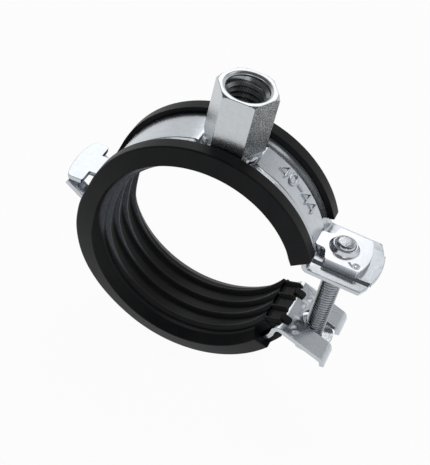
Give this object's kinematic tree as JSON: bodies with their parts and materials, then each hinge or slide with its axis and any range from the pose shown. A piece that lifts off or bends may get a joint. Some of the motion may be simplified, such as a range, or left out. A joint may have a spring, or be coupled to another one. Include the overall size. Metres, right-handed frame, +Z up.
{
  "type": "rubber lined pipe clamp",
  "caption": "Split steel pipe clamp with a ribbed rubber lining, a hooked hinge, a quick closing bolt through a nut plate, and a hex threaded boss that hangs a pipe.",
  "frame": {"origin": "centre of the upper half's pipe seat, at the middle of the clamp's width", "axes": "+Y along the pipe, +Z up along the threaded boss, +X towards the closing bolt"},
  "size_m": [0.0779, 0.0236, 0.074],
  "materials": {
    "zinc_band": "zinc plated, satin",
    "zinc_boss": "zinc plated, mottled",
    "zinc_plate": "zinc plated, bright",
    "zinc_bolt": "zinc plated, bright",
    "lining": "moulded, satin"
  },
  "bodies": {
    "upper_half": {"upper_band": "zinc_band", "upper_lining": "lining", "threaded_boss": "zinc_boss", "nut_plate": "zinc_plate"},
    "lower_half": {"lower_band": "zinc_band", "lower_lining": "lining"},
    "bolt": {"closing_bolt": "zinc_bolt"}
  },
  "joints": [
    {"name": "lower_half_hinge", "type": "hinge", "parent": "upper_half", "child": "lower_half", "pos_m": [-0.03465, 0, 0.00259], "axis": [0, 1, 0], "range_deg": [-4, 0]},
    {"name": "bolt_turn", "type": "hinge", "parent": "upper_half", "child": "bolt", "pos_m": [0.0316, 0, 0], "axis": [0, 0, 1], "continuous": true}
  ]
}
